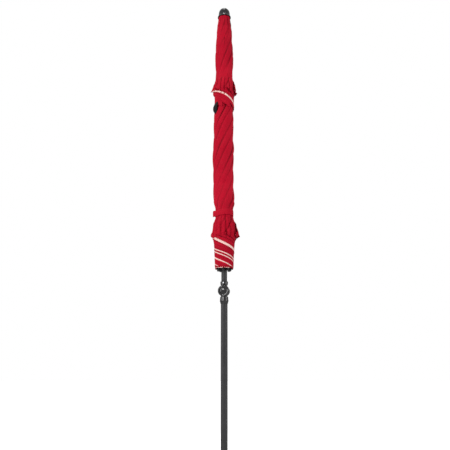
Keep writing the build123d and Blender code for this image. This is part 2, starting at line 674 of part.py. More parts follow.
def build_all():
    """Write every sub-part."""
    save("base_weight", base_weight())
    save("base_feet", *base_feet())
    save("base_sleeve", base_sleeve())
    save("base_bolts", *base_bolts())
    save("base_clamp_knob", base_clamp_knob())
    save("base_liner", base_liner())
    save("lower_tube", lower_tube())
    save("lower_tube_plug", lower_tube_plug())
    save("tilt_lower_knuckle", tilt_lower_knuckle())
    save("tilt_hinge_pin", tilt_hinge_pin())
    save("tilt_back_cap", tilt_back_cap())
    save("tilt_screws", *tilt_screws())
    save("tilt_cover_disc", tilt_cover_disc())
    save("tilt_button", tilt_button())
    save("tilt_upper_knuckle", tilt_upper_knuckle())
    save("tilt_rivets", *tilt_rivets())
    save("upper_tube", upper_tube())
    save("crown_hub", crown_hub())
    save("crown_pins", *crown_pins())
    save("finial_stud", finial_stud())
    save("finial_cap", finial_cap())
    save("canopy_furled", canopy_furled())
    save("vent_furled", vent_furled())
    save("tie_strap", tie_strap())
    save("runner_body", runner_body())
    save("runner_pins", *runner_pins())
    save("runner_latch", runner_latch())
    bars, caps, stays = round_crown(rib()), round_crown(rib_tip()), round_crown(strut())
    for i in range(RIB_COUNT):
        number = i + 1
        turn = Rot(0, 0, i * RIB_STEP)
        save(f"rib_{number}", bars[i], turn * strut_pin())
        save(f"rib_tip_{number}", caps[i])
        save(f"strut_{number}", stays[i])
        save(f"canopy_panel_{number}", *[turn * strip for strip in canopy_panel()])


build_all()
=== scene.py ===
import json
import math

import bmesh
import bpy
from mathutils import Matrix, Vector, noise

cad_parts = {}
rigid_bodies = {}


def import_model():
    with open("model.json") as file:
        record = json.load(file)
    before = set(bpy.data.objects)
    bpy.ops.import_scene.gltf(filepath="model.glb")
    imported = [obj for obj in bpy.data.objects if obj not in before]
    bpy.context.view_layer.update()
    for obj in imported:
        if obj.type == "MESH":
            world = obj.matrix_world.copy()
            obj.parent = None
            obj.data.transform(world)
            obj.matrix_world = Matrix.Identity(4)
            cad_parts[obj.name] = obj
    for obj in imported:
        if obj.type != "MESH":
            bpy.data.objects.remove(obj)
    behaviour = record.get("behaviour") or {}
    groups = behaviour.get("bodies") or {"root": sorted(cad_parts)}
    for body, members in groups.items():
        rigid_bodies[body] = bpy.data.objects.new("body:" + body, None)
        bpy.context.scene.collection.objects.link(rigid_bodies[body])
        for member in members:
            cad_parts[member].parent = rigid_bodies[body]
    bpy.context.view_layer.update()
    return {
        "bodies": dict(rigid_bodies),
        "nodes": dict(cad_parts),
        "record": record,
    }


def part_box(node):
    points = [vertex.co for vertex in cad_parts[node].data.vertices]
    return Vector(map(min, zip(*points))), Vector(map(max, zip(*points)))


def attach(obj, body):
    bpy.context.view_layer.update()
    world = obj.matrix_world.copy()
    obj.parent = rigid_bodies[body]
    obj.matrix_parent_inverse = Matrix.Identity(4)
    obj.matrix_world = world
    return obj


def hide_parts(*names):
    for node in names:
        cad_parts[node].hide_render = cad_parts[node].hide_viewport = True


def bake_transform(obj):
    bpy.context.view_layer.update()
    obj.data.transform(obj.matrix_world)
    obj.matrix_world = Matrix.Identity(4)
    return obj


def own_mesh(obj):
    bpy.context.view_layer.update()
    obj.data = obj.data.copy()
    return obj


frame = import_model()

bl_info = {
    "name": "Patio Umbrella",
    "version": (1, 0, 0),
    "blender": (4, 5, 0),
    "location": "View3D > Sidebar > Umbrella",
    "description": "Builds the cloth, finishes and studio of a furled patio umbrella on its CAD frame",
    "category": "Object",
}

JOINTS = {joint["name"]: joint for joint in frame["record"]["behaviour"]["joints"]}
UP = Vector((0, 0, 1))

# ---- sizes taken from the frame, metres
CROWN = JOINTS["canopy_open"]["pos_m"][2]
PIVOT_CIRCLE = JOINTS["canopy_open"]["pos_m"][0]
OPEN_ANGLE = math.radians(JOINTS["canopy_open"]["range_deg"][1])
HINGE = JOINTS["pole_tilt"]["pos_m"][2]
RIBS = sum(1 for name in frame["bodies"] if name.startswith("rib_arm_"))
STEP = 2 * math.pi / RIBS
RIB_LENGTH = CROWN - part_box("rib_tip_1")[0][2]
STRAP_LOW, STRAP_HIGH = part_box("tie_strap")[0][2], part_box("tie_strap")[1][2]
STRAP_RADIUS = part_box("tie_strap")[1][0]
STRAP_SAG = 0.008
STRAP_MIDDLE = (STRAP_LOW + STRAP_HIGH) / 2 - STRAP_SAG
FOLD_AXIS = Vector(JOINTS["gore_fold_1"]["axis"])
FOLD_ACROSS = UP.cross(FOLD_AXIS)
FOLD_PIVOT = Vector(JOINTS["gore_fold_1"]["pos_m"])
GORE_ANGLE = math.radians(JOINTS["gore_fold_1"]["range_deg"][1])
PIVOT_ACROSS = FOLD_PIVOT.y / FOLD_ACROSS.y
PIVOT_DOWN = CROWN - FOLD_PIVOT.z
GORE_LINE = FOLD_PIVOT.x - PIVOT_ACROSS * FOLD_ACROSS.x
FOLD_WIDTH = 2 * PIVOT_ACROSS
LINE_LIFT = GORE_LINE - PIVOT_CIRCLE
APEX_DOWN = -(PIVOT_CIRCLE + LINE_LIFT * math.cos(OPEN_ANGLE)) / math.sin(OPEN_ANGLE)

# ---- sizes of the cloth, metres, measured down a rib from its pivot
MAIN_LENGTH = RIB_LENGTH - 0.012
VENT_LENGTH = 0.605
VENT_START = -0.030
MAIN_START = 0.300
HEM_BOW = 0.016
VENT_HEM_BOW = -0.0392
FOLDED_SHORT = 0.016
VENT_FOLDED_RADIUS = 0.0478
VENT_OPEN_START = -0.012
CORNER_SHARE = math.cos(GORE_ANGLE / 2) ** 2
WRAP_STEPS = 14
WRAP_PHASE = math.radians(10.5)
VENT_WRAP_STEPS = 4
TUCKED = 0.05
INNER_LAY = 0.2
OPEN_COLUMNS = 28
FULL_SIDE = math.radians(12)


# ---------------------------------------------------------------- settings


class ClothSettings(bpy.types.PropertyGroup):
    """Sizes and colours of the cloth."""

    red: bpy.props.FloatVectorProperty(
        name="Cloth colour", description="Dyed polyester", subtype="COLOR", size=3, min=0, max=1,
        default=(0.46, 0.0028, 0.0195),
    )
    cream: bpy.props.FloatVectorProperty(
        name="Hem tape colour", description="Binding sewn along each hem", subtype="COLOR", size=3,
        min=0, max=1, default=(0.90, 0.60, 0.54),
    )
    tape_width: bpy.props.FloatProperty(
        name="Hem tape width", description="Width of the binding", default=0.011, unit="LENGTH",
    )
    lump: bpy.props.FloatProperty(
        name="Roll unevenness", description="How far the roll swells and dips", default=0.0030,
        unit="LENGTH",
    )
    crease: bpy.props.FloatProperty(
        name="Crease depth", description="Depth of the grooves along the flaps' edges",
        default=0.0066, unit="LENGTH",
    )
    lean: bpy.props.FloatProperty(
        name="Roll lean", description="How far the slack cloth hangs to one side", default=0.006,
        unit="LENGTH",
    )


class FinishSettings(bpy.types.PropertyGroup):
    """Colours of the hard parts."""

    coat: bpy.props.FloatVectorProperty(
        name="Powder coat", description="Pole, ribs and struts", subtype="COLOR", size=3, min=0, max=1,
        default=(0.034, 0.034, 0.036),
    )
    moulded: bpy.props.FloatVectorProperty(
        name="Moulded parts", description="Tilt joint, finial and runner", subtype="COLOR", size=3,
        min=0, max=1, default=(0.015, 0.015, 0.016),
    )
    stone: bpy.props.FloatVectorProperty(
        name="Base weight", description="Cast stone", subtype="COLOR", size=3, min=0, max=1,
        default=(0.30, 0.29, 0.275),
    )


class StudioSettings(bpy.types.PropertyGroup):
    """Camera and light."""

    lens: bpy.props.FloatProperty(
        name="Lens", description="Focal length in millimetres on a 36 mm sensor", default=48.0,
    )
    distance: bpy.props.FloatProperty(
        name="Camera distance", description="Level distance from the pole", default=3.380,
        unit="LENGTH",
    )
    below_hinge: bpy.props.FloatProperty(
        name="Camera below tilt hinge", description="Height of the tilt hinge over the camera",
        default=0.458, unit="LENGTH",
    )
    azimuth: bpy.props.FloatProperty(
        name="Camera azimuth", description="Turn about the pole, from the front",
        default=math.radians(12), unit="ROTATION",
    )
    pitch: bpy.props.FloatProperty(
        name="Camera pitch", description="Upward tilt of the view", default=math.radians(14),
        unit="ROTATION",
    )
    yaw: bpy.props.FloatProperty(
        name="Camera yaw", description="Turn of the view away from the pole",
        default=math.radians(0.076), unit="ROTATION",
    )


# ---------------------------------------------------------------- shader groups


def new_group(name, inputs, outputs):
    """An empty shader group with its input and output nodes: (group, inputs node, outputs node)."""
    group = bpy.data.node_groups.new(name, "ShaderNodeTree")
    for label, kind, default in inputs:
        socket = group.interface.new_socket(name=label, in_out="INPUT", socket_type=kind)
        if default is not None:
            socket.default_value = default
    for label, kind in outputs:
        group.interface.new_socket(name=label, in_out="OUTPUT", socket_type=kind)
    return group, group.nodes.new("NodeGroupInput"), group.nodes.new("NodeGroupOutput")


def math_node(tree, operation, first, second=None, clamp=False):
    """A Math node whose inputs are sockets or numbers; gives its output."""
    node = tree.nodes.new("ShaderNodeMath")
    node.operation = operation
    node.use_clamp = clamp
    for socket, value in zip(node.inputs, (first, second)):
        if value is None:
            continue
        if isinstance(value, (int, float)):
            socket.default_value = value
        else:
            tree.links.new(value, socket)
    return node.outputs[0]


def mix_colour(tree, factor, first, second, mode="MIX"):
    """A colour Mix node whose inputs are sockets or colours; gives its output."""
    node = tree.nodes.new("ShaderNodeMix")
    node.data_type = "RGBA"
    node.blend_type = mode
    for socket, value in ((node.inputs[0], factor), (node.inputs[6], first), (node.inputs[7], second)):
        if isinstance(value, (int, float)):
            socket.default_value = value
        elif isinstance(value, (tuple, list)):
            socket.default_value = (*value[:3], 1)
        else:
            tree.links.new(value, socket)
    return node.outputs[2]


def noise_node(tree, vector, scale, detail=3.0, roughness=0.5):
    """A noise texture on a coordinate socket; gives its value."""
    node = tree.nodes.new("ShaderNodeTexNoise")
    node.inputs["Detail"].default_value = detail
    node.inputs["Roughness"].default_value = roughness
    tree.links.new(vector, node.inputs["Vector"])
    if isinstance(scale, (int, float)):
        node.inputs["Scale"].default_value = scale
    else:
        tree.links.new(scale, node.inputs["Scale"])
    return node.outputs["Fac"]


def ranged(tree, value, low, high, to_low, to_high):
    """A clamped Map Range node; gives its result."""
    node = tree.nodes.new("ShaderNodeMapRange")
    tree.links.new(value, node.inputs["Value"])
    for label, number in (("From Min", low), ("From Max", high), ("To Min", to_low), ("To Max", to_high)):
        if isinstance(number, (int, float)):
            node.inputs[label].default_value = number
        else:
            tree.links.new(number, node.inputs[label])
    return node.outputs["Result"]


def grain_group():
    """Fine moulded or coated grain: a roughness value and a height."""
    group, given, out = new_group(
        "surface grain",
        [
            ("Coordinates", "NodeSocketVector", None),
            ("Scale", "NodeSocketFloat", 900.0),
            ("Roughness", "NodeSocketFloat", 0.4),
            ("Spread", "NodeSocketFloat", 0.1),
        ],
        [("Roughness", "NodeSocketFloat"), ("Height", "NodeSocketFloat")],
    )
    fine = noise_node(group, given.outputs["Coordinates"], given.outputs["Scale"], 2.0)
    broad = noise_node(group, given.outputs["Coordinates"], 14.0, 4.0, 0.6)
    low = math_node(group, "SUBTRACT", given.outputs["Roughness"], given.outputs["Spread"])
    high = math_node(group, "ADD", given.outputs["Roughness"], given.outputs["Spread"])
    group.links.new(ranged(group, broad, 0.3, 0.7, low, high), out.inputs["Roughness"])
    group.links.new(fine, out.inputs["Height"])
    return group


def dust_group():
    """Pale dust that settles on upward faces and in patches: tints a colour."""
    group, given, out = new_group(
        "settled dust",
        [
            ("Coordinates", "NodeSocketVector", None),
            ("Colour", "NodeSocketColor", (0.1, 0.1, 0.1, 1)),
            ("Dust", "NodeSocketColor", (0.5, 0.47, 0.42, 1)),
            ("Amount", "NodeSocketFloat", 0.15),
        ],
        [("Colour", "NodeSocketColor"), ("Mask", "NodeSocketFloat")],
    )
    geometry = group.nodes.new("ShaderNodeNewGeometry")
    split = group.nodes.new("ShaderNodeSeparateXYZ")
    group.links.new(geometry.outputs["Normal"], split.inputs[0])
    upward = ranged(group, split.outputs["Z"], 0.2, 1.0, 0.15, 1.0)
    patchy = noise_node(group, given.outputs["Coordinates"], 22.0, 6.0, 0.65)
    patches = ranged(group, patchy, 0.4, 0.72, 0.0, 1.0)
    mask = math_node(group, "MULTIPLY", upward, patches)
    mask = math_node(group, "MULTIPLY", mask, given.outputs["Amount"], clamp=True)
    group.links.new(mask, out.inputs["Mask"])
    group.links.new(
        mix_colour(group, mask, given.outputs["Colour"], given.outputs["Dust"]), out.inputs["Colour"]
    )
    return group


def weave_group():
    """Plain weave in cut-cloth coordinates: a height and a thread-to-thread shade."""
    group, given, out = new_group(
        "plain weave",
        [("Coordinates", "NodeSocketVector", None), ("Threads", "NodeSocketFloat", 1500.0)],
        [("Height", "NodeSocketFloat"), ("Shade", "NodeSocketFloat")],
    )
    split = group.nodes.new("ShaderNodeSeparateXYZ")
    group.links.new(given.outputs["Coordinates"], split.inputs[0])
    waves = []
    for axis in ("X", "Y"):
        turned = math_node(group, "MULTIPLY", split.outputs[axis], given.outputs["Threads"])
        waves.append(math_node(group, "SINE", turned))
    height = math_node(group, "MULTIPLY", waves[0], waves[1])
    group.links.new(math_node(group, "MULTIPLY_ADD", height, 0.5), out.inputs["Height"])
    slub = noise_node(group, given.outputs["Coordinates"], 160.0, 4.0, 0.6)
    group.links.new(slub, out.inputs["Shade"])
    return group


def place_group(tree, group, **values):
    """A group node in a material, with sockets or numbers for its inputs."""
    node = tree.nodes.new("ShaderNodeGroup")
    node.node_tree = group
    for label, value in values.items():
        socket = node.inputs[label]
        if isinstance(value, (int, float)):
            socket.default_value = value
        elif isinstance(value, (tuple, list)):
            socket.default_value = (*value[:3], 1)
        else:
            tree.links.new(value, socket)
    return node


# ---------------------------------------------------------------- materials

GROUPS = {}
MATERIALS = {}


def shader(name):
    """A new material: (tree, principled node, object coordinates)."""
    material = bpy.data.materials.new(name)
    material.use_nodes = True
    tree = material.node_tree
    principled = tree.nodes["Principled BSDF"]
    where = tree.nodes.new("ShaderNodeTexCoord").outputs["Object"]
    MATERIALS[name] = material
    return tree, principled, where


def add_bump(tree, principled, height, distance, strength=0.5):
    """Feeds a height into the shader's normal."""
    bump = tree.nodes.new("ShaderNodeBump")
    bump.inputs["Strength"].default_value = strength
    bump.inputs["Distance"].default_value = distance
    tree.links.new(height, bump.inputs["Height"])
    tree.links.new(bump.outputs["Normal"], principled.inputs["Normal"])


def hard_finish(name, colour, roughness, spread, scale, depth, dust=0.12, metallic=0.0, coat=0.0, shine=0.5):
    """Coated metal or moulded plastic: grain, uneven gloss and a little dust."""
    tree, principled, where = shader(name)
    grain = place_group(
        tree, GROUPS["grain"], Coordinates=where, Scale=scale, Roughness=roughness, Spread=spread
    )
    shade = noise_node(tree, where, 9.0, 4.0, 0.6)
    darker = tuple(channel * 0.82 for channel in colour)
    lighter = tuple(min(channel * 1.18, 1) for channel in colour)
    tint = mix_colour(tree, ranged(tree, shade, 0.35, 0.65, 0.0, 1.0), darker, lighter)
    settled = place_group(tree, GROUPS["dust"], Coordinates=where, Colour=tint, Amount=dust)
    tree.links.new(settled.outputs["Colour"], principled.inputs["Base Color"])
    tree.links.new(grain.outputs["Roughness"], principled.inputs["Roughness"])
    principled.inputs["Metallic"].default_value = metallic
    principled.inputs["Coat Weight"].default_value = coat
    principled.inputs["Coat Roughness"].default_value = 0.12
    principled.inputs["Specular IOR Level"].default_value = shine
    add_bump(tree, principled, grain.outputs["Height"], depth)


def stone_finish(name, colour):
    """Cast stone with fine aggregate and small air holes."""
    tree, principled, where = shader(name)
    grain = place_group(tree, GROUPS["grain"], Coordinates=where, Scale=420.0, Roughness=0.82, Spread=0.1)
    cells = tree.nodes.new("ShaderNodeTexVoronoi")
    cells.inputs["Scale"].default_value = 190.0
    tree.links.new(where, cells.inputs["Vector"])
    flecks = ranged(tree, cells.outputs["Distance"], 0.12, 0.32, 1.0, 0.0)
    pick = ranged(tree, noise_node(tree, where, 60.0, 2.0), 0.5, 0.62, 0.0, 1.0)
    fleck_mask = math_node(tree, "MULTIPLY", flecks, pick)
    clouds = ranged(tree, noise_node(tree, where, 7.0, 6.0, 0.65), 0.3, 0.7, 0.0, 1.0)
    body = mix_colour(tree, clouds, tuple(c * 0.78 for c in colour), tuple(c * 1.15 for c in colour))
    speckled = mix_colour(tree, fleck_mask, body, (0.09, 0.088, 0.085))
    settled = place_group(tree, GROUPS["dust"], Coordinates=where, Colour=speckled, Amount=0.35)
    tree.links.new(settled.outputs["Colour"], principled.inputs["Base Color"])
    tree.links.new(grain.outputs["Roughness"], principled.inputs["Roughness"])
    height = math_node(tree, "SUBTRACT", grain.outputs["Height"], fleck_mask)
    add_bump(tree, principled, height, 0.0006, 0.6)


def band(tree, value, low, high, soft):
    """1 where value lies between low and high, with soft edges."""
    rise = ranged(tree, value, low - soft, low + soft, 0.0, 1.0)
    fall = ranged(tree, value, high - soft, high + soft, 1.0, 0.0)
    return math_node(tree, "MULTIPLY", rise, fall)


def cloth_finish(name, colour, cream=None, tape=0.0):
    """Dyed woven polyester, with a bound hem where tape is given.

    UV: metres across, metres above the hem. The fold attribute is 1 in the bottom of a crease, where the colour
    is darkened as painted shade.
    """
    tree, principled, where = shader(name)
    uv = tree.nodes.new("ShaderNodeUVMap")
    uv.uv_map = "cloth"
    groove_shade = tree.nodes.new("ShaderNodeAttribute")
    groove_shade.attribute_name = "fold"
    weave = place_group(tree, GROUPS["weave"], Coordinates=uv.outputs["UV"], Threads=5200.0)
    faded = tuple(min(c * 1.10 + 0.004, 1) for c in colour)
    deep = tuple(c * 0.88 for c in colour)
    broad = ranged(tree, noise_node(tree, where, 5.0, 3.0, 0.5), 0.3, 0.7, 0.0, 1.0)
    body = mix_colour(tree, broad, deep, faded)
    thread = ranged(tree, weave.outputs["Shade"], 0.3, 0.7, 0.0, 0.10)
    body = mix_colour(tree, thread, body, tuple(c * 0.6 for c in colour))
    # painted shade: the colour darkens towards the bottom of each crease, following the fold attribute, as if
    # the crease were shaded
    sunk = ranged(tree, groove_shade.outputs["Fac"], 0.0, 1.0, 0.0, 0.86)
    body = mix_colour(tree, sunk, body, tuple(c * 0.16 for c in colour))
    height = weave.outputs["Height"]
    if cream is not None:
        split = tree.nodes.new("ShaderNodeSeparateXYZ")
        tree.links.new(uv.outputs["UV"], split.inputs[0])
        above = split.outputs["Y"]
        binding = band(tree, above, -0.01, tape, 0.0003)
        stitch_line = band(tree, above, tape - 0.0022, tape - 0.0014, 0.0002)
        dashes = ranged(
            tree, math_node(tree, "SINE", math_node(tree, "MULTIPLY", split.outputs["X"], 1900.0)),
            -0.2, 0.2, 0.0, 1.0,
        )
        stitches = math_node(tree, "MULTIPLY", stitch_line, dashes)
        shadow = band(tree, above, tape, tape + 0.0012, 0.0003)
        body = mix_colour(tree, shadow, body, tuple(c * 0.35 for c in colour))
        # painted shade: a thin dark line along the turned-under hem's edge, where the fold shades the cloth
        edge = band(tree, above, TUCKED - 0.001, TUCKED + 0.0012, 0.0003)
        body = mix_colour(tree, edge, body, tuple(c * 0.55 for c in colour))
        soil = ranged(tree, broad, 0.0, 1.0, 0.0, 0.18)
        soiled = mix_colour(tree, soil, cream, tuple(c * 0.8 for c in cream))
        body = mix_colour(tree, binding, body, soiled)
        body = mix_colour(tree, stitches, body, tuple(c * 0.6 for c in cream))
        height = math_node(tree, "ADD", height, math_node(tree, "MULTIPLY", binding, 3.0))
    settled = place_group(
        tree, GROUPS["dust"], Coordinates=where, Colour=body, Dust=(0.6, 0.42, 0.38), Amount=0.05
    )
    tree.links.new(settled.outputs["Colour"], principled.inputs["Base Color"])
    rough = ranged(tree, weave.outputs["Shade"], 0.3, 0.7, 0.78, 0.92)
    tree.links.new(rough, principled.inputs["Roughness"])
    principled.inputs["Specular IOR Level"].default_value = 0.06
    principled.inputs["Sheen Weight"].default_value = 0.06
    principled.inputs["Sheen Roughness"].default_value = 0.4
    principled.inputs["Sheen Tint"].default_value = (1.0, 0.45, 0.50, 1)
    add_bump(tree, principled, height, 0.00006, 0.18)


# ---------------------------------------------------------------- mesh helpers


def finish_object(bm, name, material, smooth=True):
    """Makes the object at the origin from a bmesh, with its material."""
    mesh = bpy.data.meshes.new(name)
    bm.to_mesh(mesh)
    bm.free()
    for polygon in mesh.polygons:
        polygon.use_smooth = smooth
    obj = bpy.data.objects.new(name, mesh)
    bpy.context.scene.collection.objects.link(obj)
    mesh.materials.append(MATERIALS[material])
    return obj


def through(points, value):
    """Eased interpolation through (place, amount) points."""
    if value <= points[0][0]:
        return points[0][1]
    for (a, low), (b, high) in zip(points, points[1:]):
        if value <= b:
            share = (value - a) / (b - a)
            return low + (high - low) * share * share * (3 - 2 * share)
    return points[-1][1]


def cloth_grid(name, columns, rows, place, flat, material, groove_shade=None):
    """A sheet of cloth: a grid whose points go where place says, with flat's cut-cloth metres as UV.

    groove_shade gives how deep in a fold each point lies, from 0 to 1; it is stored as the fold attribute,
    which the cloth's colour darkens by as painted shade.
    """
    bm = bmesh.new()
    depth = bm.verts.layers.float.new("fold")
    bmesh.ops.create_grid(bm, x_segments=columns, y_segments=rows, size=0.5)
    layer = bm.loops.layers.uv.new("cloth")
    for face in bm.faces:
        for loop in face.loops:
            loop[layer].uv = flat(loop.vert.co.x + 0.5, loop.vert.co.y + 0.5)
    for vert in bm.verts:
        across, along = vert.co.x + 0.5, vert.co.y + 0.5
        # painted shade amount, kept per point for the cloth's colour to darken by
        vert[depth] = groove_shade(across, along) if groove_shade else 0.0
        vert.co = place(across, along)
    return finish_object(bm, name, material)


def spun(name, outline, material, centre=(0, 0, 0), axis="Z", segments=96):
    """A turned piece from (radius, height) points round an axis through centre."""
    bm = bmesh.new()
    verts = [bm.verts.new((radius, 0, height)) for radius, height in outline]
    edges = [bm.edges.new(pair) for pair in zip(verts, verts[1:])]
    bmesh.ops.spin(
        bm, geom=verts + edges, cent=(0, 0, 0), axis=(0, 0, 1), angle=2 * math.pi, steps=segments,
        use_merge=True, use_duplicate=False,
    )
    bmesh.ops.remove_doubles(bm, verts=bm.verts, dist=1e-6)
    if axis == "Y":
        bmesh.ops.rotate(bm, verts=bm.verts, cent=(0, 0, 0), matrix=Matrix.Rotation(math.pi / 2, 3, "X"))
    bmesh.ops.translate(bm, verts=bm.verts, vec=centre)
    bmesh.ops.recalc_face_normals(bm, faces=bm.faces)
    return finish_object(bm, name, material)


def arc_points(centre, radii, start, end, count):
    """Points of an ellipse's arc in radius and height, angles in degrees."""
    angles = [math.radians(start + (end - start) * i / count) for i in range(count + 1)]
    return [(centre[0] + radii[0] * math.cos(a), centre[1] + radii[1] * math.sin(a)) for a in angles]


# ---------------------------------------------------------------- furled cloth


class Tier:
    """One tier of the canopy, rolled round the ribs as eight interleaved flaps.

    Each gore is folded at its middle, and the double flap is wrapped clockwise round the bundle.
    Places are given by the distance down a rib, and by an azimuth. inner, outer and flare are
    radii by distance down. tucks and slack are each gore's own turned-under hem and hanging hem.
    lay and steep say how the flap's width is spread over its turn, and side how much less the
    skirt stands out on its closed side.
    """

    def __init__(
        self, settings, length, bow, start, wrap, inner, outer, flare, tucks, slack, lay, steep, side, seed,
    ):
        self.settings = settings
        self.length, self.bow, self.start = length, bow, start
        self.wrap, self.inner, self.outer, self.flare = wrap, inner, outer, flare
        self.tucks, self.slack, self.seed = tucks, slack, seed
        self.lay, self.steep, self.side = lay, steep, side
        self.corner = length * CORNER_SHARE + bow
        self.edges = {}

    def wrapped(self, down):
        """The angle that the flap goes round at this distance down the rib."""
        return self.wrap * max(down, 0.0) / self.corner

    def laid(self, share):
        """How much of the flap's width is laid at this share of its turn. The outer turns take more."""
        even = (1 - self.lay) * share + self.lay * share**2.5
        return max(1 - self.steep * (1 - even), INNER_LAY * even)

    def hem(self, share, number=None):
        """Where the cut hem crosses a line that runs this share of the way to the fold."""
        slack = self.slack.get(number, 0.0) * math.sin(math.pi * min(max((share - 0.45) / 0.55, 0), 1))
        width = self.laid(share)
        return self.length / (1 + width * math.tan(GORE_ANGLE / 2) ** 2) + self.bow * width + slack

    def fold_azimuth(self, number, down):
        """The azimuth of a flap's folded edge, with its own unevenness."""
        drift = 0.20 * noise.noise(Vector((number * 3.7 + self.seed, down * 2.6, 0.3)))
        drift += 0.07 * noise.noise(Vector((number * 5.1, down * 9.0, self.seed)))
        return (number + 0.5) * STEP - self.wrapped(down) + drift * min(1.0, self.wrapped(down))

    def folds_at(self, down):
        """The azimuths of all the folded edges at one distance down, and how deep each groove is."""
        key = round(down * 500)
        if key not in self.edges:
            here = min(key / 500, self.corner)
            found = []
            for number in range(RIBS):
                strength = 0.72 + 1.0 * noise.noise(Vector((number * 9.1, here * 3.2, self.seed + 4)))
                found.append((self.fold_azimuth(number, here) % (2 * math.pi), min(max(strength, 0.25), 1.0)))
            self.edges[key] = found
        return self.edges[key]

    def relief(self, azimuth, down, radius):
        """How far the roll's surface stands out at a place, and how deep in a crease it lies, which sets its
        painted shade.
        """
        behind = ahead = 1.0
        deep_behind = deep_ahead = 0.0
        for fold, strength in self.folds_at(down):
            past = (azimuth - fold) % (2 * math.pi) * radius
            left = (fold - azimuth) % (2 * math.pi) * radius
            if past < behind:
                behind, deep_behind = past, strength
            if left < ahead:
                ahead, deep_ahead = left, strength
        rise = self.settings.crease
        low = min(max((down + 0.02) / 0.10, 0.0), 1.0) * min(max((self.corner + 0.004 - down) / 0.03, 0.0), 1.0)
        puff = 0.55 * rise * deep_behind * math.exp(-((behind - 0.016) / 0.012) ** 2)
        valley = deep_behind * math.exp(-((behind / 0.0062) ** 2))
        slope = deep_ahead * (0.72 * math.exp(-((ahead / 0.0066) ** 2)) + 0.28 * math.exp(-ahead / 0.016))
        sunk = max(valley, slope)
        # the second value is painted shade, darkest in the bottom of each crease
        return (puff - rise * sunk) * low, min(sunk * 1.05, 1.0) ** 1.6 * low

    def gathers(self, azimuth, down, height):
        """Long upright pleats: under the finial, and in a skirt under the strap. (offset, painted shade in the
        pleats' dips).
        """
        loose = through(self.flare, down)
        amount = 0.0
        if down < 0.22:
            amount = math.sin(math.pi * min(max((down + 0.02) / 0.22, 0), 1)) ** 0.7 * 0.0044
            count, warp = 7, 1.6
        elif loose > 0.0005:
            amount, count, warp = min(0.004, loose) + loose * 0.34, 9, 0.9
        if amount <= 0:
            return 0.0, 0.0
        swing = warp * noise.noise(Vector((math.cos(azimuth) * 1.3, math.sin(azimuth) * 1.3, height * 1.5)))
        wave = math.sin(azimuth * count + swing * 3 + self.seed)
        pleat = 1 - 2 * (1 - abs(wave)) ** 2.2
        keep = 0.5 + 0.5 * noise.noise(Vector((math.cos(azimuth) * 2.4, math.sin(azimuth) * 2.4, self.seed)))
        dip = max(-pleat, 0.0) * min(max(keep * 1.6, 0.45), 1)
        # the second value is painted shade in the pleats' dips
        return amount * (0.35 * pleat - dip), dip * min(amount / 0.0022, 1.0)

    def surface(self, number, side, share, down):
        """A point of the flap and its painted shade from creases and pleats. side is 1 outside and -1 inside;
        share runs to the fold.
        """
        fold = self.fold_azimuth(number, down)
        begin = (number + (1 if side > 0 else 0)) * STEP
        azimuth = begin + (fold - begin) * share
        turn = max(self.wrapped(down), math.radians(30))
        ratio = min(max(1 - (azimuth - fold) / turn, 0.0), 1.0)
        inner, outer = through(self.inner, down), through(self.outer, down)
        flare = through(self.flare, down) * (1 + 0.25 * noise.noise(Vector((number * 7.3, self.seed, 1.7))))
        flare *= 1 - self.side * (1 - math.cos(azimuth - FULL_SIDE)) / 2
        spread = azimuth - fold
        loose = math.exp(-spread / 0.85)
        radius = inner + (outer - inner) * ratio**1.5 + flare * loose
        height = CROWN - down
        cinch = 1 - 0.85 * math.exp(-(((height - STRAP_MIDDLE) / 0.026) ** 2))
        near = min(max((down + 0.02) / 0.10, 0.0), 1.0)
        along = azimuth + down * 8.0
        lump = noise.noise(Vector((math.cos(along) * 1.5, math.sin(along) * 1.5, height * 3.2 + self.seed)))
        lump += 0.5 * noise.noise(Vector((math.cos(along) * 3.4, math.sin(along) * 3.4, height * 8)))
        radius += self.settings.lump * lump * ratio**2 * cinch * near
        stand, groove_shade = self.relief(azimuth, down, outer)
        pleat, shade = self.gathers(azimuth, down, height)
        tight = 1 - min(flare / 0.010, 1.0)
        radius += stand * ratio**2 * cinch * (0.35 + 0.65 * tight) + pleat * ratio**2
        radius += 0.0001 * side
        lean = self.settings.lean * ratio**2 * math.sin(math.pi * min(max((down - 0.55) / 0.7, 0), 1))
        lift = flare * 0.04 * loose**2
        place = Vector((radius * math.cos(azimuth) - lean, radius * math.sin(azimuth), height + lift))
        # the second value is painted shade: crease shade where the roll is tight, pleat shade in the skirt
        return place, max(groove_shade * cinch * tight * ratio, shade * ratio)

    def tuck(self, number, share):
        """How far the hem binding is turned under at a share of the way to the fold."""
        return through(self.tucks.get(number, [(0, TUCKED)]), share)

    def gore(self, number, name, columns, rows, material):
        """One folded gore as a sheet."""

        def cut(across, along):
            share = 1 - abs(1 - 2 * across)
            eased = 1 - (1 - share) ** 1.6
            hem = self.hem(eased, number)
            down = hem + (self.start - hem) * along
            return eased, hem, down

        def point(across, along):
            eased, _, down = cut(across, along)
            return self.surface(number, 1 if across < 0.5 else -1, eased, down)

        def flat(across, along):
            eased, hem, down = cut(across, along)
            half = max(down, 0.005) * math.tan(GORE_ANGLE / 2)
            sign = 1 if across < 0.5 else -1
            under = self.tuck(number, eased) if sign > 0 else TUCKED
            return sign * half * (1 - self.laid(eased)), (hem - down) * math.cos(GORE_ANGLE / 2) + under

        return cloth_grid(
            name, columns, rows, lambda across, along: point(across, along)[0], flat, material,
            groove_shade=lambda across, along: point(across, along)[1],
        )

    def area(self):
        """Flat area of one gore from its start to its bowed hem."""
        whole = 0.5 * self.length**2 * math.sin(GORE_ANGLE)
        bowed = self.bow * self.length * math.sin(GORE_ANGLE / 2)
        return whole + bowed - 0.5 * max(self.start, 0) ** 2 * math.sin(GORE_ANGLE)


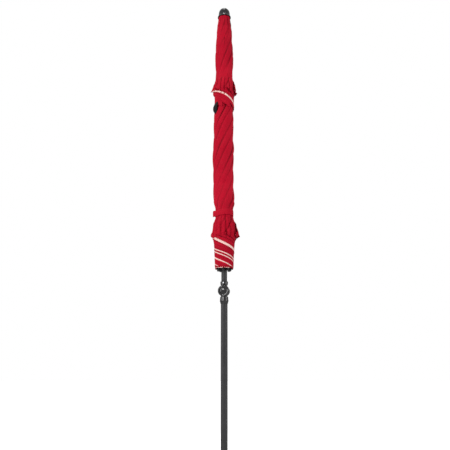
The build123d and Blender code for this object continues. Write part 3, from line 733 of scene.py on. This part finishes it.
def main_tier(settings):
    """The lower tier: tight under the strap, loose and flared below it."""
    return Tier(
        settings, MAIN_LENGTH, HEM_BOW, MAIN_START, WRAP_STEPS * STEP + WRAP_PHASE,
        inner=[(0.30, 0.0440), (1.30, 0.0450), (1.45, 0.0505), (1.60, 0.0520)],
        outer=[
            (0.30, 0.0465), (0.50, 0.0500), (0.56, 0.0545), (0.60, 0.0565), (0.68, 0.0600), (0.76, 0.0575),
            (0.87, 0.0625), (1.00, 0.0590), (1.10, 0.0585), (1.185, 0.0615), (1.228, 0.0500), (1.275, 0.0488),
            (1.32, 0.0580), (1.40, 0.0650), (1.60, 0.0640),
        ],
        flare=[(1.262, 0.0), (1.29, 0.004), (1.33, 0.013), (1.388, 0.029), (1.402, 0.013), (1.43, 0.0)],
        tucks={
            1: [(0.25, TUCKED), (0.28, 0.006), (0.50, 0.006), (0.58, TUCKED)],
            2: [(0.50, TUCKED), (0.58, 0.0015), (0.86, 0.0), (0.93, 0.0), (0.962, 0.012), (0.99, TUCKED)],
            3: [(0.0, 0.004), (0.55, 0.003), (0.63, TUCKED)],
            5: [(0.0, 0.006), (0.80, 0.0060), (0.93, 0.012), (0.97, TUCKED)],
            6: [(0.0, 0.005), (0.80, 0.0060), (0.93, 0.012), (0.97, TUCKED)],
        },
        slack={2: 0.020},
        lay=0.0,
        steep=1.33,
        side=0.64,
        seed=2.0,
    )


def vent_tier(settings):
    """The upper tier: gathered under the finial, flared at its hem."""
    return Tier(
        settings, VENT_LENGTH, VENT_HEM_BOW, VENT_START, VENT_WRAP_STEPS * STEP + WRAP_PHASE,
        inner=[
            (-0.03, 0.0350), (0.00, 0.0368), (0.012, 0.0388), (0.027, 0.0408), (0.075, 0.0450), (0.12, 0.0468),
            (0.20, 0.0490), (0.48, 0.0505), (0.53, 0.0585), (0.61, 0.0610),
        ],
        outer=[
            (-0.03, 0.0362), (0.00, 0.0390), (0.012, 0.0412), (0.027, 0.0440), (0.075, 0.0490), (0.12, 0.0505),
            (0.20, 0.0540), (0.235, 0.0575), (0.29, 0.0555), (0.36, 0.0515), (0.395, 0.0525), (0.426, 0.0555),
            (0.53, 0.0600), (0.61, 0.0630),
        ],
        flare=[(0.395, 0.0), (0.425, 0.006), (0.455, 0.014), (0.488, 0.024), (0.510, 0.008), (0.54, 0.0)],
        tucks={
            0: [(0.0, 0.0), (0.60, 0.001), (0.88, 0.005), (0.96, 0.012), (0.995, TUCKED)],
        },
        slack={},
        lay=-0.35,
        steep=1.0,
        side=0.0,
        seed=9.0,
    )


def gather_when_open(piece):
    """Gives the piece its own copy of its mesh."""
    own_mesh(piece)


# ---------------------------------------------------------------- open cloth


def turn_in_plane(across, down, angle):
    """A point of the gore's plane turned about the fold's pivot."""
    u, s = across - PIVOT_ACROSS, down - PIVOT_DOWN
    c, n = math.cos(angle), math.sin(angle)
    return u * c + s * n + PIVOT_ACROSS, -u * n + s * c + PIVOT_DOWN


def folded_place(across, down):
    """Where a point of the spread gore lies when the gore is folded beside its rib.

    The spread turns each point by its own share of the gore's angle, eased over the fold's width,
    so the share is found by halving until the point's folded place asks for the same share.
    """
    low, high = 0.0, 1.0
    for _ in range(40):
        share = (low + high) / 2
        u, s = turn_in_plane(across, down, -share * GORE_ANGLE)
        step = min(max(u / FOLD_WIDTH, 0.0), 1.0)
        if step * step * (3 - 2 * step) > share:
            low = share
        else:
            high = share
    return turn_in_plane(across, down, -low * GORE_ANGLE)


def spread_point(share, down, lift):
    """A point of the open gore in its own plane, at a share of the way from rib to rib."""
    lean = -lift * FOLD_AXIS.y / FOLD_ACROSS.y
    half = GORE_ANGLE / 2
    u0, s0 = lean, down - APEX_DOWN
    along = u0 * math.sin(half) + s0 * math.cos(half)
    aside = u0 * math.cos(half) - s0 * math.sin(half)
    aside *= 1 - 2 * share
    u = along * math.sin(half) + aside * math.cos(half)
    s = along * math.cos(half) - aside * math.sin(half)
    return u, s + APEX_DOWN


def open_gore(number, name, start, length, lift_at, rows):
    """One gore cut to spread between two ribs, placed folded beside its rib as at rest."""
    turn = Matrix.Rotation(number * STEP, 3, "Z")

    def down_at(along):
        return length + (start - length) * along

    def place(share, along):
        down = down_at(along)
        lift = lift_at(share, down)
        u, s = folded_place(*spread_point(share, down, lift))
        local = Vector((GORE_LINE, 0, CROWN)) + FOLD_ACROSS * u - UP * s + FOLD_AXIS * lift
        return turn @ local

    def flat(share, along):
        u, _ = spread_point(share, down_at(along), 0.0)
        return u, (length - down_at(along)) * math.cos(GORE_ANGLE / 2)

    obj = cloth_grid(name, OPEN_COLUMNS, rows, place, flat, "canopy cloth")
    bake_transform(obj)
    return obj


def vent_line(down, tier):
    """How far the open vent cloth stands off the main cloth's plane, so that it folds inside the roll."""
    inner = min(through(tier.inner, down) - 0.0004, VENT_FOLDED_RADIUS)
    far = FOLD_WIDTH * FOLD_ACROSS.y
    return math.sqrt(max(inner**2 - far**2, 0)) - FOLD_WIDTH * FOLD_ACROSS.x - GORE_LINE


# ---------------------------------------------------------------- operators


class UMBRELLA_OT_finishes(bpy.types.Operator):
    """Make the materials and put them on the CAD parts."""

    bl_idname = "umbrella.finishes"
    bl_label = "Finishes"

    def execute(self, context):
        cloth = context.scene.umbrella_cloth
        hard = context.scene.umbrella_finish
        GROUPS.update(grain=grain_group(), dust=dust_group(), weave=weave_group())
        coat, moulded = tuple(hard.coat), tuple(hard.moulded)
        hard_finish("powder coat", coat, 0.46, 0.06, 1400.0, 0.00006, dust=0.08, shine=0.28)
        hard_finish("sleeve coat", coat, 0.48, 0.07, 1100.0, 0.00010, dust=0.22, shine=0.35)
        hard_finish("moulded gloss", moulded, 0.17, 0.04, 1800.0, 0.00002, dust=0.03, coat=0.3)
        hard_finish("moulded matt", moulded, 0.60, 0.08, 1500.0, 0.00010, dust=0.15, shine=0.3)
        hard_finish("zinc", (0.55, 0.56, 0.58), 0.32, 0.10, 700.0, 0.00005, dust=0.08, metallic=1.0)
        hard_finish("foot rubber", (0.02, 0.02, 0.02), 0.85, 0.06, 900.0, 0.00020, dust=0.5)
        stone_finish("cast stone", tuple(hard.stone))
        cloth_finish("canopy cloth", tuple(cloth.red), tuple(cloth.cream), cloth.tape_width)
        cloth_finish("strap cloth", tuple(c * 0.98 for c in cloth.red))
        cloth_finish("tether webbing", (0.012, 0.012, 0.013))
        finish_of_slot = {
            "base_stone": "cast stone", "foot_rubber": "foot rubber", "steel_coated": "sleeve coat",
            "pole_coated": "powder coat", "zinc_steel": "zinc", "dark_plastic": "moulded matt",
            "gloss_dark": "moulded gloss", "canopy_cloth": "canopy cloth", "strap_cloth": "strap cloth",
        }
        for part in frame["record"]["subparts"]:
            node = frame["nodes"][part["node"]]
            node.data.materials.clear()
            node.data.materials.append(MATERIALS[finish_of_slot[part["material_slot"]]])
        return {"FINISHED"}


class UMBRELLA_OT_main_canopy(bpy.types.Operator):
    """Roll the eight main gores round the closed ribs."""

    bl_idname = "umbrella.main_canopy"
    bl_label = "Main canopy, furled"

    def execute(self, context):
        tier = main_tier(context.scene.umbrella_cloth)
        rows = 170
        for number in range(RIBS):
            gore = tier.gore(number, f"main_gore_furled_{number + 1}", 170, rows, "canopy cloth")
            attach(gore, "upper_pole")
            if number == 0:
                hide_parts("canopy_furled")
            tier.area()
            gather_when_open(gore)
        return {"FINISHED"}


class UMBRELLA_OT_vent_canopy(bpy.types.Operator):
    """Roll the eight vent gores over the top of the main ones."""

    bl_idname = "umbrella.vent_canopy"
    bl_label = "Vent canopy, furled"

    def execute(self, context):
        tier = vent_tier(context.scene.umbrella_cloth)
        rows = 120
        for number in range(RIBS):
            gore = tier.gore(number, f"vent_gore_furled_{number + 1}", 120, rows, "canopy cloth")
            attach(gore, "upper_pole")
            if number == 0:
                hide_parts("vent_furled")
            tier.area()
            gather_when_open(gore)
        return {"FINISHED"}


class UMBRELLA_OT_tie_strap(bpy.types.Operator):
    """Wrap the tie strap round the roll, with its free end lapped."""

    bl_idname = "umbrella.tie_strap"
    bl_label = "Tie strap"

    def execute(self, context):
        lap, lap_start = math.radians(400), math.radians(232)

        def place(along, across):
            azimuth = lap_start - along * lap
            radius = STRAP_RADIUS + 0.0016 * max(along * lap - 2 * math.pi, 0) / math.radians(10)
            radius = min(radius, STRAP_RADIUS + 0.0016)
            radius += 0.0006 * noise.noise(Vector((math.cos(azimuth) * 3, math.sin(azimuth) * 3, across)))
            droop = 0.003 * math.sin(azimuth * 2)
            height = STRAP_LOW - STRAP_SAG + (STRAP_HIGH - STRAP_LOW) * across - droop
            radius += 0.011 * max((along - 0.955) / 0.045, 0.0)
            radius += 0.0012 * (1 - ((height - STRAP_MIDDLE) / 0.018) ** 2)
            return Vector((radius * math.cos(azimuth), radius * math.sin(azimuth), height))

        def flat(along, across):
            return along * lap * STRAP_RADIUS, (STRAP_HIGH - STRAP_LOW) * across + 0.1

        strap = cloth_grid("tie_strap_cloth", 150, 8, place, flat, "strap cloth")
        thick = strap.modifiers.new("thickness", "SOLIDIFY")
        thick.thickness = 0.0014
        thick.offset = 0
        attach(strap, "upper_pole")
        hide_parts("tie_strap")
        gather_when_open(strap)
        return {"FINISHED"}


class UMBRELLA_OT_tethers(bpy.types.Operator):
    """Add the webbing loops that tie the vent hem down at each rib."""

    bl_idname = "umbrella.tethers"
    bl_label = "Vent tethers"

    def execute(self, context):
        for number in range(RIBS):
            self.tether(number, loose=number == 5)
        return {"FINISHED"}

    def tether(self, number, loose):
        """One webbing loop, drawn at the first rib and turned to its own."""
        turn = Matrix.Rotation(number * STEP, 3, "Z")
        top, foot = (CROWN - 0.552, CROWN - 0.636) if loose else (CROWN - 0.545, CROWN - 0.605)
        width, reach = (0.022, 0.0700) if loose else (0.006, 0.0475)

        def place(across, along):
            height = foot + (top - foot) * along
            radius = 0.0465 + (reach - 0.0465) * math.sin(math.pi * along**0.8) ** 0.6
            leaf = math.sin(math.pi * min(max(along * 0.86 + 0.10, 0), 1)) ** 0.7
            side = (across - 0.5) * 2
            curl = 0.0035 * side**2 * leaf
            slant = 0.010 * (along - 0.5) if loose else 0.0
            return turn @ Vector((radius - curl, side * width * leaf + slant, height))

        def flat(across, along):
            return across * width, along * (top - foot) + 0.1

        tether = cloth_grid(f"vent_tether_{number + 1}", 10, 24, place, flat, "tether webbing")
        thick = tether.modifiers.new("thickness", "SOLIDIFY")
        thick.thickness = 0.0012
        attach(tether, f"rib_arm_{number + 1}")


class UMBRELLA_OT_open_canopy(bpy.types.Operator):
    """Make the gores cut to spread between the ribs, placed folded beside their ribs as at rest."""

    bl_idname = "umbrella.open_canopy"
    bl_label = "Open canopy"

    def execute(self, context):
        vent = vent_tier(context.scene.umbrella_cloth)

        def main_lift(share, down):
            return -0.010 * math.sin(math.pi * share) * down / RIB_LENGTH

        def vent_lift(share, down):
            return vent_line(down, vent) - 0.002 * math.sin(math.pi * share)

        main_end, vent_end = MAIN_LENGTH - FOLDED_SHORT, VENT_LENGTH - 3 * FOLDED_SHORT
        for number in range(RIBS):
            main = open_gore(number, f"main_gore_{number + 1}", MAIN_START, main_end, main_lift, 90)
            cover = open_gore(number, f"vent_gore_{number + 1}", VENT_OPEN_START, vent_end, vent_lift, 44)
            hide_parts(f"canopy_panel_{number + 1}")
        return {"FINISHED"}


class UMBRELLA_OT_finial(bpy.types.Operator):
    """Turn the domed finial with its flared brim."""

    bl_idname = "umbrella.finial"
    bl_label = "Finial"

    def execute(self, context):
        low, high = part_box("finial_cap")
        brim, foot, top = high[0], low[2], high[2]
        dome = brim * 0.82
        waist = top - dome
        wall = 0.003
        outline = arc_points((0, waist), (dome, dome), 90, 4, 22)
        outline += arc_points((brim, waist - 0.004), (brim - dome - 0.0012, 0.022), 180, 262, 12)
        outline += arc_points((brim - 0.0012, foot + 0.0014), (0.0012, 0.0012), 60, -90, 6)
        outline += arc_points((brim, waist - 0.004), (brim - dome + wall, 0.024), 258, 184, 10)
        outline += arc_points((0, waist), (dome - wall, dome - wall), 0, 90, 18)
        cap = spun("finial", outline, "moulded gloss")
        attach(cap, "upper_pole")
        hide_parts("finial_cap")
        return {"FINISHED"}


class UMBRELLA_OT_tilt_cover(bpy.types.Operator):
    """Turn the tilt joint's round cover and its domed button."""

    bl_idname = "umbrella.tilt_cover"
    bl_label = "Tilt cover and button"

    def execute(self, context):
        low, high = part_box("tilt_cover_disc")
        radius, back, front = high[0], -high[1], -low[1]
        button_low, button_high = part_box("tilt_button")
        knob, knob_back, knob_front = button_high[0], -button_high[1], -button_low[1]
        edge, gap = 0.0030, 0.0004
        outline = [(radius * 0.4, back), (radius - 0.001, back), (radius, back + 0.001)]
        outline += arc_points((radius - edge, front - edge - 0.0006), (edge, edge), 0, 78, 8)
        outline += arc_points((radius - edge - 0.0016, front - 0.0008), (0.0012, 0.0008), 0, 90, 5)
        outline += [(knob + 0.0042, front), (knob + 0.0030, front - 0.0012)]
        outline += [(knob + gap + 0.0008, front - 0.0012)]
        outline += [(knob + gap, front - 0.0020), (knob + gap, back + 0.0021), (0.002, back + 0.0021)]
        cover = spun("tilt_cover", outline, "moulded gloss", (0, 0, HINGE), "Y")
        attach(cover, "lower_pole")
        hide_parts("tilt_cover_disc")
        rim = knob_front - 0.0030
        face = [(0.0, knob_back), (knob - 0.0008, knob_back), (knob, knob_back + 0.0008), (knob, rim - 0.0008)]
        face += arc_points((0, rim - 0.0008), (knob, 0.0038), 6, 90, 14)
        button = spun("tilt_push_button", face, "moulded gloss", (0, 0, HINGE), "Y")
        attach(button, "push_button")
        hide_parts("tilt_button")
        return {"FINISHED"}


class UMBRELLA_OT_stage(bpy.types.Operator):
    """Make the pale floor, the soft studio light and the camera."""

    bl_idname = "umbrella.stage"
    bl_label = "Stage, light and camera"

    def execute(self, context):
        scene = context.scene
        studio = scene.umbrella_studio
        self.floor()
        world = bpy.data.worlds.new("studio")
        scene.world = world
        world.use_nodes = True
        tree = world.node_tree
        backdrop = tree.nodes["Background"]
        backdrop.inputs["Color"].default_value = (1, 1, 1, 1)
        seen = tree.nodes.new("ShaderNodeLightPath").outputs["Is Camera Ray"]
        tree.links.new(ranged(tree, seen, 0.0, 1.0, 0.42, 1.0), backdrop.inputs["Strength"])
        scene.view_settings.view_transform = "Standard"
        scene.view_settings.look = "None"
        middle = Vector((0, 0, (CROWN + HINGE) / 2))
        self.panel("key", middle, math.radians(222), 3.2, 0.7, (1.3, 3.4), 66)
        self.panel("fill", middle, math.radians(344), 3.4, 0.4, (1.1, 3.4), 54)
        self.panel("back", middle, math.radians(100), 3.6, 0.8, (1.6, 3.4), 34)
        self.panel("dome lamp", Vector((0, 0, CROWN + 0.09)), math.radians(270), 0.35, 1.6, (0.60, 0.30), 9.0)
        self.panel("button lamp", Vector((0, 0, HINGE)), math.radians(256), 2.6, 0.95, (0.34, 0.34), 13.0)
        self.camera(scene, studio)
        return {"FINISHED"}

    def floor(self):
        tree, principled, where = shader("studio floor")
        tone = ranged(tree, noise_node(tree, where, 3.0), 0.3, 0.7, 0.80, 0.84)
        tree.links.new(mix_colour(tree, tone, (0, 0, 0), (1, 1, 1)), principled.inputs["Base Color"])
        principled.inputs["Roughness"].default_value = 0.9
        principled.inputs["Emission Color"].default_value = (1, 1, 1, 1)
        seen = tree.nodes.new("ShaderNodeLightPath").outputs["Is Camera Ray"]
        tree.links.new(ranged(tree, seen, 0.0, 1.0, 0.05, 0.85), principled.inputs["Emission Strength"])
        bm = bmesh.new()
        bmesh.ops.create_circle(bm, cap_ends=True, radius=60.0, segments=96)
        floor = finish_object(bm, "floor", "studio floor", smooth=False)

    def panel(self, name, aim, azimuth, distance, rise, size, power):
        """A soft rectangular light that faces the canopy."""
        light = bpy.data.lights.new(name, "AREA")
        light.shape = "RECTANGLE"
        light.size, light.size_y = size
        light.energy = power
        obj = bpy.data.objects.new(name, light)
        away = Vector((math.cos(azimuth), math.sin(azimuth), rise / distance)) * distance
        obj.location = aim + away
        obj.rotation_mode = "QUATERNION"
        obj.rotation_quaternion = (-away).to_track_quat("-Z", "Y")
        bpy.context.scene.collection.objects.link(obj)

    def camera(self, scene, studio):
        data = bpy.data.cameras.new("camera")
        data.lens = studio.lens
        data.sensor_width = 36.0
        data.clip_end = 200.0
        camera = bpy.data.objects.new("camera", data)
        scene.collection.objects.link(camera)
        camera.location = (
            studio.distance * math.sin(studio.azimuth),
            -studio.distance * math.cos(studio.azimuth),
            HINGE - studio.below_hinge,
        )
        heading = studio.azimuth - studio.yaw
        camera.rotation_euler = (math.pi / 2 + studio.pitch, 0, heading)
        scene.camera = camera


class UMBRELLA_PT_panel(bpy.types.Panel):
    """Lists the settings and the steps."""

    bl_idname = "UMBRELLA_PT_panel"
    bl_label = "Patio Umbrella"
    bl_space_type = "VIEW_3D"
    bl_region_type = "UI"
    bl_category = "Umbrella"

    def draw(self, context):
        scene = context.scene
        for settings in (scene.umbrella_cloth, scene.umbrella_finish, scene.umbrella_studio):
            box = self.layout.box()
            for name in settings.bl_rna.properties.keys():
                if name not in {"rna_type", "name"}:
                    box.prop(settings, name)
        for step in STEPS:
            self.layout.operator(step.bl_idname)


SETTINGS = {
    "umbrella_cloth": ClothSettings,
    "umbrella_finish": FinishSettings,
    "umbrella_studio": StudioSettings,
}
STEPS = (
    UMBRELLA_OT_finishes,
    UMBRELLA_OT_stage,
    UMBRELLA_OT_main_canopy,
    UMBRELLA_OT_vent_canopy,
    UMBRELLA_OT_tie_strap,
    UMBRELLA_OT_tethers,
    UMBRELLA_OT_open_canopy,
    UMBRELLA_OT_finial,
    UMBRELLA_OT_tilt_cover,
)


def register():
    for name, settings in SETTINGS.items():
        bpy.utils.register_class(settings)
        setattr(bpy.types.Scene, name, bpy.props.PointerProperty(type=settings))
    for step in STEPS:
        bpy.utils.register_class(step)
    bpy.utils.register_class(UMBRELLA_PT_panel)


def unregister():
    bpy.utils.unregister_class(UMBRELLA_PT_panel)
    for step in reversed(STEPS):
        bpy.utils.unregister_class(step)
    for name, settings in SETTINGS.items():
        delattr(bpy.types.Scene, name)
        bpy.utils.unregister_class(settings)


def main():
    """Builds everything in order."""
    register()
    for step in STEPS:
        group, name = step.bl_idname.split(".")
        getattr(getattr(bpy.ops, group), name)()
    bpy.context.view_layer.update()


if __name__ == "__main__":
    main()
